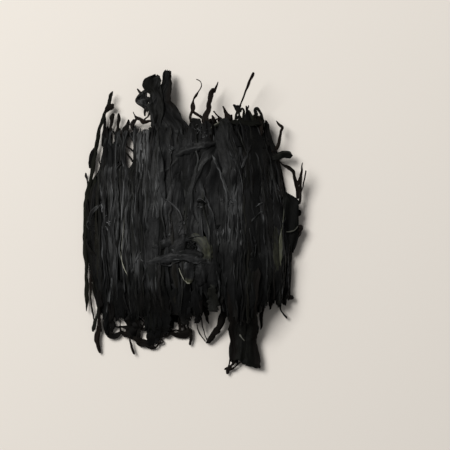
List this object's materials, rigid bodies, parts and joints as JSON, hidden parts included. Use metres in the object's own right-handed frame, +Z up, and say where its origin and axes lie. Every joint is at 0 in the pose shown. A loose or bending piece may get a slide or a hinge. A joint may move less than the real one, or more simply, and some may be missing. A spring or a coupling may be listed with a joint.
{
  "type": "dried wakame bundle",
  "caption": "Flat bundle of dried wakame: long black strips that run one way, with folded leaves, edge loops and loose tips, lying on its flat underside.",
  "frame": {"origin": "middle of the bundle's resting face, on the surface it lies on", "axes": "+Y along the strips, towards the end with the broad upright leaf; +Z up"},
  "size_m": [0.19, 0.2614, 0.0363],
  "materials": {
    "dried_wakame": null
  },
  "bodies": {
    "root": {"wakame_bundle": "dried_wakame"}
  },
  "joints": []
}
